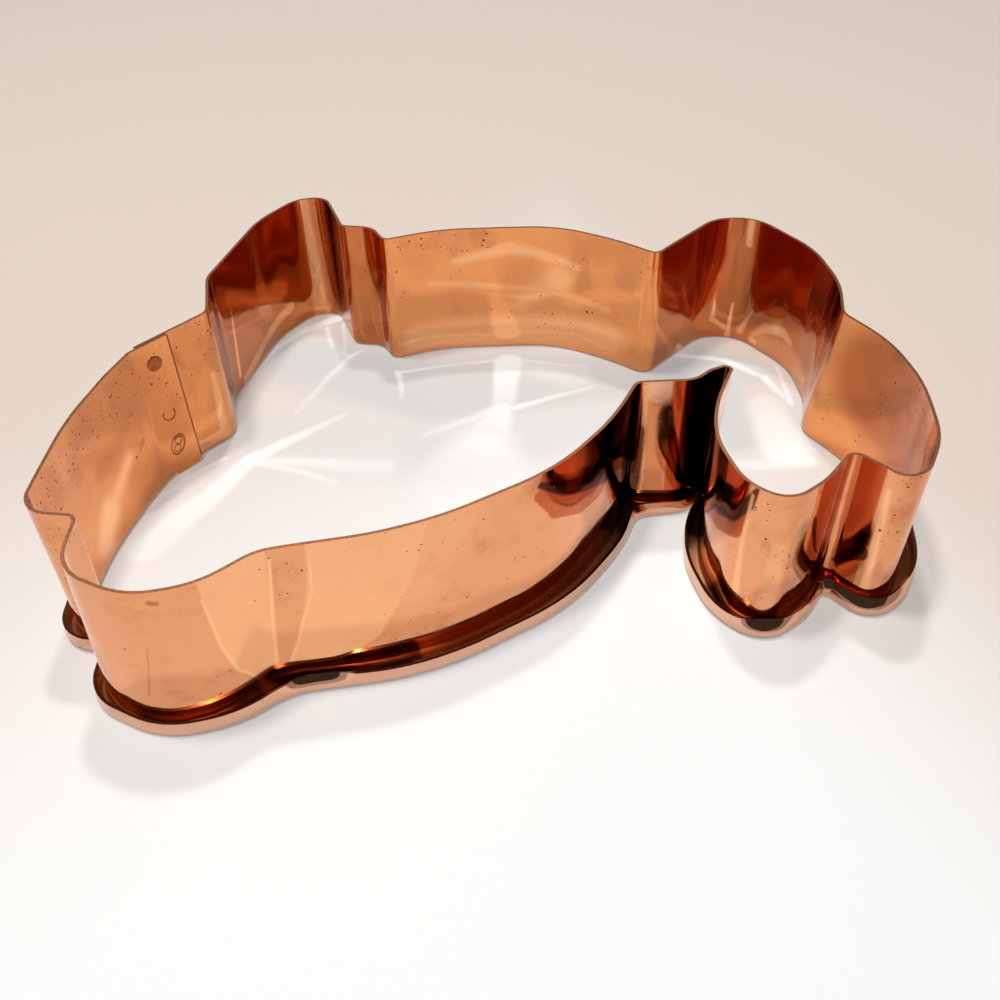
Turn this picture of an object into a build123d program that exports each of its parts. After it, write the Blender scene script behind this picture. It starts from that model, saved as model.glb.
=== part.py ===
"""A copper cookie cutter whose outline is a floppy winter cap with a bobble.

It lies as it is stored: the folded gutter rests on the table and the cutting edge points up.
One strip of sheet copper makes the wall, the gutter and the lip. Its ends lap on the left side,
where three spot welds join them. Millimetres, origin under the middle of the cutter.
"""

import os
from math import copysign, radians, sin, tan

from build123d import *

os.makedirs("parts", exist_ok=True)

# Driving sizes of the cutter, outline sizes to the middle of the sheet
outline_length = 154.0
outline_width = 125.5
cutter_depth = 32.0
sheet_thickness = 0.6

# Gutter folded outwards along the foot of the wall
gutter_width = 3.2
lip_height = 3.4
fold_radius = 1.0
fold_limit_share = 0.9
inner_fold_share = 0.4
lip_rounding = 0.15

# Lapped ends of the strip, on the straight side of the trim band
lap_start = 1.0
lap_length = 6.8
lap_gap = 0.1
lap_foot = 1.2
lap_corner_radius = 2.0
notch_length = 1.5
notch_jog_share = 0.2
lap_bend_shares = (0.45, 0.25, 0.25)
cut_overrun = 1.0

# Spot welds, heights of their middles above the table
weld_from_lap_edge = 2.7
weld_height_upper = 27.3
weld_height_middle = 15.0
weld_height_lower = 7.2
weld_radius_upper = 1.75
weld_radius_middle = 1.6
weld_radius_lower = 1.6
double_strike_rise = 2.2
double_strike_lean = 0.7
weld_bite_share = 0.6
dimple_radius_share = 0.6
dimple_depth_share = 0.15

# Corners of the outline, clockwise from the lower left. Each row holds the place along the length,
# the place across the width, how much of the shorter side beside it the wall's bend takes up, the
# gutter's width there, and how much of its own shorter side the lip's bend takes up.
trim_foot_shares = [
    (-0.001, 0.145, 0.49, 1.00, 0.68),  # outer end of the trim band
    (0.004, 0.328, 0.45, 1.00, 0.30),
    (0.025, 0.436, 0.20, 1.00, 0.30),
]
lap_corner_shares = [
    (0.045, 0.508, 0.09, 1.00, 0.30),  # lower end of the straight that carries the lap
    (0.121, 0.609, 0.11, 0.80, 0.20),  # crease between the lap and the trim's tall end
]
trim_tall_end_shares = [
    (0.104, 0.715, 0.14, 1.00, 0.30),
    (0.148, 0.915, 0.36, 1.00, 0.40),
    (0.194, 0.994, 0.40, 0.90, 0.45),
    (0.239, 1.005, 0.48, 0.90, 0.50),
    (0.274, 0.889, 0.15, 0.60, 0.30),  # crease beside the step
]
step_shares = [
    (0.319, 0.881, 0.36, 0.70, 0.55),
    (0.339, 0.834, 0.24, 0.60, 0.40),  # crease between the step and the crown
]
crown_shares = [
    (0.419, 0.868, 0.49, 1.00, 0.49),
    (0.591, 0.873, 0.49, 1.00, 0.49),
    (0.676, 0.816, 0.46, 1.00, 0.48),
    (0.727, 0.767, 0.18, 0.60, 0.30),  # crease between the crown and the tip lobe
]
tip_lobe_shares = [
    (0.826, 0.891, 0.42, 0.90, 0.48),
    (0.886, 0.888, 0.49, 1.00, 0.49),
    (0.949, 0.774, 0.36, 1.00, 0.40),
    (0.961, 0.659, 0.42, 1.00, 0.55),
    (0.947, 0.570, 0.12, 0.80, 0.30),  # crease between the tip lobe and the bobble
]
bobble_outer_shares = [
    (0.988, 0.490, 0.49, 1.00, 0.49),
    (1.002, 0.384, 0.40, 1.00, 0.45),
    (0.990, 0.260, 0.46, 1.00, 0.50),
    (0.958, 0.189, 0.49, 0.70, 0.50),
    (0.930, 0.177, 0.48, 0.65, 0.50),
    (0.887, 0.234, 0.22, 0.50, 0.25),  # crease between the two lobes of the bobble
]
bobble_inner_shares = [
    (0.845, 0.174, 0.30, 0.80, 0.40),
    (0.802, 0.136, 0.49, 0.70, 0.50),
    (0.760, 0.173, 0.46, 0.50, 0.48),
    (0.741, 0.264, 0.48, 0.45, 0.48),
    (0.752, 0.342, 0.48, 0.50, 0.40),
    (0.787, 0.439, 0.48, 0.27, 0.40),  # sharp crease between the bobble and the brow
]
brow_shares = [
    (0.756, 0.423, 0.24, 0.00, 0.00),  # the lip runs past this one
    (0.736, 0.400, 0.48, 0.40, 0.45),
    (0.665, 0.397, 0.12, 0.75, 0.25),  # crease between the brow and the front edge
]
front_shares = [
    (0.630, 0.311, 0.49, 0.95, 0.49),
    (0.562, 0.208, 0.46, 1.15, 0.46),
    (0.413, 0.101, 0.45, 1.20, 0.45),
    (0.258, 0.066, 0.24, 0.95, 0.35),
]
trim_front_end_shares = [
    (0.206, 0.013, 0.40, 0.80, 0.45),
    (0.140, -0.005, 0.46, 0.80, 0.48),
    (0.065, 0.041, 0.44, 0.80, 0.50),
    (0.062, 0.134, 0.14, 0.80, 0.30),  # crease between the trim's front end and its foot
]
corner_shares = (
    trim_foot_shares
    + lap_corner_shares
    + trim_tall_end_shares
    + step_shares
    + crown_shares
    + tip_lobe_shares
    + bobble_outer_shares
    + bobble_inner_shares
    + brow_shares
    + front_shares
    + trim_front_end_shares
)


def corner_place(shares):
    """Place of a corner, with the outline centred on the origin."""
    return Vector(outline_length * (shares[0] - 0.5), outline_width * (shares[1] - 0.5))


def with_neighbours(items):
    """Each item of a closed row between the one before and the one after."""
    return list(zip(items[-1:] + items[:-1], items, items[1:] + items[:1]))


def pushed_out(before, corner, after, reach):
    """Place of a corner when both sides beside it move outwards by the reach."""
    incoming = (corner - before).normalized()
    outgoing = (after - corner).normalized()
    normals = Vector(-incoming.Y - outgoing.Y, incoming.X + outgoing.X)
    return corner + normals * (reach / (1 + incoming.dot(outgoing)))


def bend_side(before, corner, after):
    """1 at a corner that points out of the cutter, -1 at a crease that points into it."""
    return -copysign(1, (corner - before).cross(after - corner).Z)


def bend_radius(before, corner, after, bend_share):
    """Radius of the bend that uses its share of the shorter side beside the corner."""
    incoming = corner - before
    outgoing = after - corner
    half_turn = radians(incoming.get_angle(outgoing)) / 2
    return bend_share * min(incoming.length, outgoing.length) / tan(half_turn)


def bend_radii(places, bend_shares):
    """Radius of every bend of a closed row of corners."""
    return [
        bend_radius(before, corner, after, share)
        for (before, corner, after), share in zip(with_neighbours(places), bend_shares)
    ]


def beside(places, radii, reach):
    """Corners and bends of the line that runs beside a closed row of corners, the reach further out."""
    row = with_neighbours(places)
    return (
        [pushed_out(before, corner, after, reach) for before, corner, after in row],
        [
            radius + reach * bend_side(before, corner, after)
            for (before, corner, after), radius in zip(row, radii)
        ],
    )


def outline_face(places, radii):
    """Face inside a closed row of corners with bends."""
    with BuildSketch() as outline:
        with BuildLine():
            FilletPolyline(*places, radius=radii, close=True)
        make_face()
    return outline.sketch.faces()[0]


# Sizes that follow
half_sheet = sheet_thickness / 2
lap_step = sheet_thickness + lap_gap
lap_end = lap_start + lap_length
lap_inset = lap_step + half_sheet
notch_start = lap_start - notch_length
notch_jog = notch_length * notch_jog_share
weld_depth = lap_step + sheet_thickness * weld_bite_share

# Frame of the lap: X along the strip towards the tall end, Y outwards, at the corner before the lap
lap_corner = corner_place(lap_corner_shares[0])
lap_approach = lap_corner - corner_place(trim_foot_shares[-1])
lap_run = corner_place(lap_corner_shares[1]) - lap_corner
lap_turn = radians(lap_approach.get_angle(lap_run))
lap_plane = Plane(origin=lap_corner, x_dir=lap_run, z_dir=(0, 0, 1))

# The end that lies inside bends a little early, and the sheet's middle jogs outwards in the notch
lap_places = [
    lap_corner - lap_approach.normalized() * (lap_step / sin(lap_turn)),
    lap_plane.from_local_coords(Vector(notch_start + notch_jog, -lap_step)),
    lap_plane.from_local_coords(Vector(lap_start - notch_jog, 0)),
]

# Inner face of the lap, X along the strip, Y upwards
lap_face_origin = lap_plane.from_local_coords(Vector(0, -lap_inset))
lap_face = Plane(origin=lap_face_origin, x_dir=lap_run, z_dir=-lap_plane.y_dir)
weld_place = lap_start + weld_from_lap_edge
double_strike_places = [
    (weld_place - double_strike_lean / 2, weld_height_lower - double_strike_rise / 2),
    (weld_place + double_strike_lean / 2, weld_height_lower + double_strike_rise / 2),
]

# Corners and bends of the sheet's middle, and of the lip's outer face
rows_before_lap = len(trim_foot_shares)
outline_corners = [corner_place(shares) for shares in corner_shares]
wall_corners = outline_corners[:rows_before_lap] + lap_places + outline_corners[rows_before_lap + 1 :]
wall_shares = [shares[2] for shares in corner_shares]
wall_shares = wall_shares[:rows_before_lap] + list(lap_bend_shares) + wall_shares[rows_before_lap + 1 :]
wall_radii = bend_radii(wall_corners, wall_shares)
lip_rows = [shares for shares in corner_shares if shares[4] > 0]
lip_corners = [
    pushed_out(before, corner, after, sheet_thickness + half_sheet + gutter_width * shares[3])
    for (before, corner, after), shares in zip(with_neighbours([corner_place(row) for row in lip_rows]), lip_rows)
]
lip_radii = bend_radii(lip_corners, [shares[4] for shares in lip_rows])
outer_fold_radius = min(fold_radius, fold_limit_share * (min(wall_radii) + half_sheet))
inner_fold_radius = outer_fold_radius * inner_fold_share
print("tightest bends of wall and lip:", round(min(wall_radii), 2), round(min(lip_radii), 2))


# Faces inside both sides of the wall and inside both sides of the lip
wall_outside = outline_face(*beside(wall_corners, wall_radii, half_sheet))
wall_inside = outline_face(*beside(wall_corners, wall_radii, -half_sheet))
lip_outside = outline_face(lip_corners, lip_radii)
lip_inside = outline_face(*beside(lip_corners, lip_radii, -sheet_thickness))

# The origin goes under the middle of the box around the lip
lip_middle = lip_outside.center(CenterOf.BOUNDING_BOX)
to_origin = Pos(-lip_middle.X, -lip_middle.Y, 0)

with BuildPart() as strip:
    # Floor of the gutter
    with BuildSketch():
        add(lip_outside)
        add(wall_inside, mode=Mode.SUBTRACT)
    extrude(amount=sheet_thickness)
    # Lip
    with BuildSketch():
        add(lip_outside)
        add(lip_inside, mode=Mode.SUBTRACT)
    extrude(amount=lip_height)
    # Wall
    with BuildSketch():
        add(wall_outside)
        add(wall_inside, mode=Mode.SUBTRACT)
    extrude(amount=cutter_depth)
    # Folds at the foot, outside and inside the channel
    underside = strip.faces().sort_by(Axis.Z)[0]
    fillet(underside.edges(), radius=outer_fold_radius)
    channel_floor = strip.faces().filter_by(Axis.Z).filter_by_position(
        Axis.Z, sheet_thickness / 2, sheet_thickness * 2
    )[0]
    fillet(channel_floor.edges(), radius=inner_fold_radius)
    # Rounded rim of the lip
    lip_rim = strip.faces().filter_by(Axis.Z).filter_by_position(
        Axis.Z, lip_height - half_sheet, lip_height + half_sheet
    )[0]
    fillet(lip_rim.edges(), radius=lip_rounding)
    print("faces with the folds:", len(strip.part.faces()), "valid:", strip.part.is_valid)
    # Notch between the two ends, through wall and gutter
    with BuildSketch(lap_plane):
        with Locations((notch_start, -lap_inset - cut_overrun)):
            Rectangle(notch_length, lap_inset + gutter_width + lap_step * 2 + cut_overrun * 2, align=Align.MIN)
    extrude(amount=cutter_depth, mode=Mode.SUBTRACT)
    # Inner end of the strip, carried on behind the outer one
    with BuildSketch(lap_face) as inner_end:
        with Locations((notch_start, lap_foot)):
            Rectangle(notch_length + lap_length, cutter_depth - lap_foot, align=Align.MIN)
        fillet(inner_end.vertices().sort_by_distance((lap_end, lap_foot))[0], radius=lap_corner_radius)
    extrude(amount=-sheet_thickness)
    # Seats of the spot welds
    with BuildSketch(lap_face):
        with Locations((weld_place, weld_height_upper)):
            Circle(weld_radius_upper)
        with Locations((weld_place, weld_height_middle)):
            Circle(weld_radius_middle)
        with Locations(*double_strike_places):
            Circle(weld_radius_lower)
    extrude(amount=-weld_depth, mode=Mode.SUBTRACT)
    print("solids of the strip:", len(strip.part.solids()), "valid:", strip.part.is_valid)

strip.part = to_origin * strip.part
strip.part.label = "cutter_strip"
export_step(strip.part, "parts/cutter_strip.step")

# Spot welds, each fused through the inner end and into the outer one
with BuildPart() as weld_upper:
    with BuildSketch(lap_face):
        with Locations((weld_place, weld_height_upper)):
            Circle(weld_radius_upper)
    extrude(amount=-weld_depth)
    with BuildSketch(lap_face):
        with Locations((weld_place, weld_height_upper)):
            Circle(weld_radius_upper * dimple_radius_share)
    extrude(amount=-sheet_thickness * dimple_depth_share, mode=Mode.SUBTRACT)

weld_upper.part = to_origin * weld_upper.part
weld_upper.part.label = "weld_upper"
export_step(weld_upper.part, "parts/weld_upper.step")

with BuildPart() as weld_middle:
    with BuildSketch(lap_face):
        with Locations((weld_place, weld_height_middle)):
            Circle(weld_radius_middle)
    extrude(amount=-weld_depth)
    with BuildSketch(lap_face):
        with Locations((weld_place, weld_height_middle)):
            Circle(weld_radius_middle * dimple_radius_share)
    extrude(amount=-sheet_thickness * dimple_depth_share, mode=Mode.SUBTRACT)

weld_middle.part = to_origin * weld_middle.part
weld_middle.part.label = "weld_middle"
export_step(weld_middle.part, "parts/weld_middle.step")

with BuildPart() as weld_lower:
    with BuildSketch(lap_face):
        with Locations(*double_strike_places):
            Circle(weld_radius_lower)
    extrude(amount=-weld_depth)
    with BuildSketch(lap_face):
        with Locations(*double_strike_places):
            Circle(weld_radius_lower * dimple_radius_share)
    extrude(amount=-sheet_thickness * dimple_depth_share, mode=Mode.SUBTRACT)

weld_lower.part = to_origin * weld_lower.part
weld_lower.part.label = "weld_lower"
export_step(weld_lower.part, "parts/weld_lower.step")

for piece in (strip, weld_upper, weld_middle, weld_lower):
    box = piece.part.bounding_box()
    print(piece.part.label, round(piece.part.volume, 1), box.min, box.max)
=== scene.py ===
"""A polished copper cookie cutter, bent as a floppy winter cap with a bobble.

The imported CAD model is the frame. The strip is modelled again here as one bent sheet, because the
real one leans, ripples and pinches its gutter, and the spot welds get their raised rings.
"""

from math import ceil, copysign, cos, pi, radians, sin, sqrt, tan

import bmesh
import bpy
from bpy.props import FloatProperty, FloatVectorProperty, PointerProperty
from bpy.types import Operator, Panel, PropertyGroup
from mathutils import Matrix, Vector, noise


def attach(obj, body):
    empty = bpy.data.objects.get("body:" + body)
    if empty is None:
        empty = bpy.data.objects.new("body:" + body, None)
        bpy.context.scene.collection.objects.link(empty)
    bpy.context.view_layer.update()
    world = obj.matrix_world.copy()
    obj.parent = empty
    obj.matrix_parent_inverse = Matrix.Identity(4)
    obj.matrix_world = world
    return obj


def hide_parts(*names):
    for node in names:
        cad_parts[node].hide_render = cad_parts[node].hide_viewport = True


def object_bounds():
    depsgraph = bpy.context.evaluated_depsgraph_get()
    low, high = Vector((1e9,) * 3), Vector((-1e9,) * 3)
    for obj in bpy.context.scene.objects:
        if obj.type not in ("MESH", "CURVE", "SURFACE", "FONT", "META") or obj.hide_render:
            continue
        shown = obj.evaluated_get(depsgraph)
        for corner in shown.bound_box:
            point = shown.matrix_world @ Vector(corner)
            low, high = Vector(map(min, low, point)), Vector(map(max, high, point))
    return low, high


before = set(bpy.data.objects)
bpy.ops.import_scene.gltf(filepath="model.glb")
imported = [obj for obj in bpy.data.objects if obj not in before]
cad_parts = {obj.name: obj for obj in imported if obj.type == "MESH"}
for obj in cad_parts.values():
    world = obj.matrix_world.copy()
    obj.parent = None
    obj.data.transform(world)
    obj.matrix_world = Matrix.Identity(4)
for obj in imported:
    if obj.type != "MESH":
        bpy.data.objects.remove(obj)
CAD_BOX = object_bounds()
CAD_LOW = Vector(CAD_BOX[0])
CAD_HIGH = Vector(CAD_BOX[1])

bl_info = {
    "name": "Copper cookie cutter",
    "version": (1, 0, 0),
    "blender": (4, 5, 0),
    "location": "View3D > Sidebar > Cutter",
    "description": "Builds a bent copper cookie cutter with its folded gutter, lapped seam and spot welds",
    "category": "Add Mesh",
}

MM = 0.001
UP = Vector((0, 0, 1))

# Corners of the outline, clockwise from the lower left. Each row holds the place along the length and
# across the width, how much of the shorter side beside it the wall's bend takes up, the gutter's width
# there, how much of its own shorter side the lip's bend takes up, how far the lip's rim leans towards
# the wall, and how far the foot stands from the top along the length and across the width.
TRIM_FOOT_SHARES = [
    (-0.001, 0.145, 0.49, 0.45, 0.6, 0.1),  # outer end of the trim band
    (0.004, 0.328, 0.45, 1, 0.3, 0, 0.005),
    (0.025, 0.436, 0.2, 1, 0.3, 0, 0.007),
]
LAP_CORNER_SHARES = [
    (0.045, 0.508, 0.09, 1, 0.3, 0, 0.006, -0.003),  # lower end of the straight that carries the lap
    (0.121, 0.609, 0.11, 0.8, 0.2, 0.1),  # crease between the lap and the trim's tall end
]
TRIM_TALL_END_SHARES = [
    (0.104, 0.715, 0.14, 1, 0.3),
    (0.148, 0.915, 0.36, 1, 0.4),
    (0.194, 0.994, 0.4, 0.9, 0.45),
    (0.239, 1.005, 0.48, 0.9, 0.5),
    (0.274, 0.889, 0.15, 0.6, 0.3, 0.2),  # crease beside the step
]
STEP_SHARES = [
    (0.319, 0.881, 0.36, 0.7, 0.55, 0.1),
    (0.339, 0.834, 0.24, 0.6, 0.4, 0.2),  # crease between the step and the crown
]
CROWN_SHARES = [
    (0.419, 0.868, 0.49, 1, 0.49),
    (0.591, 0.873, 0.49, 1, 0.49),
    (0.676, 0.816, 0.46, 1, 0.48),
    (0.727, 0.767, 0.18, 0.6, 0.3, 0.2),  # crease between the crown and the tip lobe
]
TIP_LOBE_SHARES = [
    (0.826, 0.891, 0.42, 0.9, 0.48),
    (0.886, 0.888, 0.49, 1, 0.49),
    (0.949, 0.774, 0.36, 1, 0.4, 0, 0, 0.004),
    (0.961, 0.659, 0.42, 1, 0.55, 0, -0.006, 0.01),
    (0.947, 0.57, 0.12, 0.8, 0.3, 0.1, -0.013, 0.02),  # crease between the tip lobe and the bobble
]
BOBBLE_OUTER_SHARES = [
    (0.988, 0.49, 0.49, 1, 0.49, 0, -0.004, 0.004),
    (1.002, 0.384, 0.4, 1, 0.45),
    (0.99, 0.26, 0.46, 1, 0.5, 0.1),
    (0.958, 0.189, 0.49, 0.7, 0.5, 0.55),
    (0.93, 0.177, 0.48, 0.65, 0.5, 0.75),
    (0.887, 0.234, 0.22, 0.5, 0.25, 0.6),  # crease between the two lobes of the bobble
]
BOBBLE_INNER_SHARES = [
    (0.845, 0.174, 0.3, 0.8, 0.4, 0.25),
    (0.802, 0.136, 0.49, 0.7, 0.5, 0.8),
    (0.76, 0.173, 0.46, 0.5, 0.48, 0, 0.005),
    (0.741, 0.264, 0.48, 0.45, 0.48, 0, 0.008),
    (0.752, 0.342, 0.48, 0.5, 0.4, 0, 0.006),
    (0.787, 0.439, 0.48, 0.27, 0.4, 0.2, -0.01),  # sharp crease between the bobble and the brow
]
BROW_SHARES = [
    (0.756, 0.423, 0.24, 0, 0, 0.2, -0.004),  # the lip runs past this one
    (0.736, 0.4, 0.48, 0.4, 0.45, 0.15),
    (0.665, 0.397, 0.12, 0.75, 0.25, 0.3),  # crease between the brow and the front edge
]
FRONT_SHARES = [
    (0.63, 0.311, 0.49, 0.95, 0.49, 0.05),
    (0.562, 0.208, 0.46, 1.15, 0.46, 0.05, 0.003, -0.007),
    (0.413, 0.101, 0.45, 1.2, 0.45, 0.05, 0.003, -0.012),
    (0.258, 0.066, 0.24, 0.95, 0.35, 0.15, 0, -0.004),
]
TRIM_FRONT_END_SHARES = [
    (0.206, 0.013, 0.4, 0.8, 0.45, 0.15, 0, -0.007),
    (0.14, -0.005, 0.46, 0.8, 0.48, 0.1, -0.004, -0.012),
    (0.065, 0.041, 0.44, 0.8, 0.5, 0.1, -0.009, -0.008),
    (0.062, 0.134, 0.14, 0.65, 0.3, 0.2, -0.003),  # crease between the trim's front end and its foot
]
# Spots where the lip's rim was pinched in: place along the length and across the width, reach along the
# strip as a share of the length, and depth
PINCH_SPOT_SHARES = [(0.3, 0.036, 0.05, 0.5)]
# Rows in the order that the strip meets them, from the crease after its outer end to its inner end. What a
# row leaves out at its end is 0.
ROW_VALUES = 8
STRIP_ROWS = [
    (*row, *[0] * (ROW_VALUES - len(row)))
    for row in LAP_CORNER_SHARES[1:]
    + TRIM_TALL_END_SHARES
    + STEP_SHARES
    + CROWN_SHARES
    + TIP_LOBE_SHARES
    + BOBBLE_OUTER_SHARES
    + BOBBLE_INNER_SHARES
    + BROW_SHARES
    + FRONT_SHARES
    + TRIM_FRONT_END_SHARES
    + TRIM_FOOT_SHARES
]


# Bands of light that the curved copper throws on the table, in millimetres: the bright end with its half
# width, the end where it fades with its half width, softness and strength
THROWN_LIGHT = [
    (-53, 5, 1.8, -70, -22, 3.6, 2.5, 1), (-59, 6, 0.5, -66, 0, 0.6, 1.2, 0.8),
    (-66, 0, 0.6, -72, -10, 0.6, 1.4, 0.6), (-53, 5, 2, -35, 20, 0.5, 1.8, 1),
    (-52, 4, 1.2, -24, 2, 2.2, 3, 0.8), (-52, 4, 1, -35, -3, 0.8, 1.6, 0.8),
    (-41, 60.5, 1.6, -48, 56, 1.1, 1.6, 1), (-48, 56, 1.1, -54, 48, 0.8, 1.6, 0.9),
    (-54, 48, 0.8, -58, 36, 0.6, 1.6, 0.8), (-43, 56, 0.6, -41, 47, 0.5, 1.2, 0.9),
    (-39, 58, 0.4, -37.5, 45, 0.5, 1, 0.7), (-36, 43, 0.6, -38, 45, 0.5, 1, 0.9),
    (-36, 43, 0.7, -33, 46, 0.5, 1, 0.9), (-36, 43, 0.8, -46, 21, 0.6, 1.6, 0.6),
    (-24, 36, 0.8, -22.5, 26, 0.4, 1.2, 0.9), (-24, 36, 0.5, -8, 39.6, 0.5, 1, 0.7),
    (4, 40.6, 0.5, -8, 39.6, 0.5, 1, 0.7), (4, 40.6, 0.6, 21, 37, 0.5, 1.2, 0.7),
    (3, 39, 3.4, 1, 20, 2.4, 2, 1), (1, 21, 2.4, -3, 9, 6, 3, 0.9),
    (-3, 9, 6, -5, -3, 13, 9, 0.8), (4, 21, 0.9, 22, 29, 0.5, 1.4, 0.9),
    (0, 21, 1.4, -16, 12, 0.8, 2.2, 0.7), (6, 38, 2, 18, 33, 4, 5, 0.5),
    (55, 38.4, 1, 43, 41.8, 0.6, 1.2, 1), (55, 38.4, 1, 62.5, 31, 0.8, 1.2, 1),
    (62.5, 31, 0.9, 67, 21, 0.6, 1.4, 1), (67, 21, 0.7, 66.5, 36, 0.3, 1, 0.7),
    (62, 4, 5, 61, 20, 4, 4, 0.9), (66, 1, 1.8, 51, 0, 1.6, 2, 0.9),
]
# Bands of the same kind where the table inside the cutter is in its soft shade
INNER_TABLE = [
    (-48, 42, 9, -14, 28, 13, 46, 34, 9, 12, 0.95),
    (-56, 12, 8, -14, 10, 14, 16, 0.4), (-14, 10, 14, 30, 20, 14, 16, 0.55),
    (48, 41, 3, 60, 33, 5, 6, 1), (53, 32, 4, 52, 8, 4, 5, 0.9),
    (68, 22, 3, 70, 8, 4, 6, 0.7),
]


# Zones of the sheet's two sides, as bands in millimetres along the strip and down from its cut edge: two or
# more places in a row, each with its half width, then softness and strength. The outer side runs on into
# the gutter, and the inner side under it and round to the outside of the lip.
OUTER_ZONES = {
    # Painted shade: brown where the copper's reflections are darker, in pockets and along creases
    "brown_tint_and_shade": [
        (374.3, 5, 2.1, 374.1, 27, 2.3, 0.8, 0.6), (475, 2, 0.5, 474, 2.3, 0.4, 0.7, 0.8),
        (477, 12, 0.12, 478, 18, 0.12, 479, 24, 0.15, 0.3, 0.5),
        (305, 3, 1.6, 305, 24, 1.6, 1.5, 0.7),
    ],
    # Painted reflection: deep red where the copper mirrors copper again, beside the creases and round the
    # bobble
    "painted_red_reflection": [
        (407.5, 1.5, 2.6, 399, 3, 4.2, 0.8, 0.9),
        (410, 4.5, 1.3, 405, 8.6, 3.4, 399, 12, 3.2, 394, 13, 2.8, 0.6, 0.85),
        (330, 3, 4.2, 336, 8, 5.5, 1.2, 0.92),
        (326, 6, 1.3, 329, 10.5, 3.5, 334, 13.2, 3.6, 340, 14, 3.5, 0.6, 0.95),
        (309.3, 2, 3, 308.8, 20, 2.7, 0.5, 0.55), (298.8, 0, 2.9, 298.6, 27, 2.9, 0.5, 0.8),
        (369.9, -2, 1.9, 369.9, 27, 1.7, 0.8, 0.85), (339, 0, 2.5, 339, 16, 2.5, 1, 0.8),
    ],
    # Painted highlight: a pale spot at the top of the stripe by the brow's crease
    "painted_pale_sheen": [
        (374.2, 0, 2.2, 374.2, 3, 2, 1, 0.5),
    ],
    "dull": [
        (-5, 34.6, 3.6, 570, 34.6, 3.6, 0.8, 1),
    ],
    # Painted shade: near-black where the copper mirrors the dark room, and in the gutter over its glints
    "painted_dark_reflection": [
        (386, 5, 8.8, 383.5, 12, 7, 2, 0.97), (381, 12, 4.6, 380.5, 26, 3.4, 1, 0.95),
        (410, 2.2, 0.6, 404, 6.2, 1.6, 398, 9.3, 1.7, 391, 10, 4, 0.6, 0.95),
        (356.5, 0, 11.8, 356.5, 36, 11.8, 3, 0.95),
        (324.3, 0.5, 0.4, 325.5, 4.5, 1.2, 328.5, 8.3, 1.7, 333.5, 11.3, 1.9, 339, 13.5, 2, 0.5, 0.95),
        (336, -1, 3, 342, 3, 4.5, 3, 0.8), (300.8, 24.5, 0.5, 296.3, 19.5, 1.8, 0.5, 0.92),
        (438, 34.5, 4, 455, 34.5, 4, 1, 0.85), (464, 34.5, 4, 480, 34.5, 4, 2, 0.6),
        (318, 34.5, 4, 330, 34.5, 4, 2, 0.8), (370, 34.5, 4, 382, 34.5, 4, 2, 0.8),
    ],
    # Painted reflection: bright patches and lines on the front wall, where it mirrors brightly lit table
    "painted_highlight": [
        (461.8, -4, 5.9, 462, 13, 4.8, 461.7, 20, 3.8, 460, 28, 1.4, 0.5, 0.6),
        (467.3, 4, 0.25, 466.5, 15, 0.35, 465.1, 21.8, 0.35, 461.5, 27, 0.3, 0.4, 1),
        (455.9, 2, 0.25, 457.6, 16, 0.35, 458.4, 27, 0.3, 0.4, 1),
        (440, -3, 9.8, 442, 8, 8.8, 446, 18, 7.2, 0.8, 0.6),
        (446, 18, 7.2, 451.7, 26.5, 4.6, 0.8, 0.65),
        (449.9, 3, 0.25, 450.4, 10, 0.35, 453.3, 17.8, 0.35, 457, 28, 0.3, 0.4, 1),
        (430, 2, 9, 434, 12, 5, 8, 0.35), (324.9, 2, 0.3, 325.4, 12.7, 0.4, 0.5, 0.6),
        (325.4, 12.7, 0.4, 325, 27, 0.9, 0.8, 0.9), (319, 12, 1.2, 318.5, 30, 1.8, 1.6, 0.5),
        (294.7, 4, 0.4, 293.6, 29, 0.8, 0.8, 0.9),
    ],
    "specks": [
        (374.2, 1.5, 1.8, 374.2, 4, 1.5, 1, 1), (376.3, 14, 0.7, 377, 24, 0.9, 1, 0.9),
        (292.5, 1, 1.8, 291, 13, 1.6, 1.5, 1.8), (321, 12, 1.2, 316, 16, 1.2, 1.5, 1),
        (314, 24, 0.9, 308, 31, 0.9, 1.5, 1), (468, 20, 1, 466, 22, 1, 1.5, 1),
        (425, 3, 3, 418, 8, 3, 3, 0.35),
    ],
}
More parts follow.
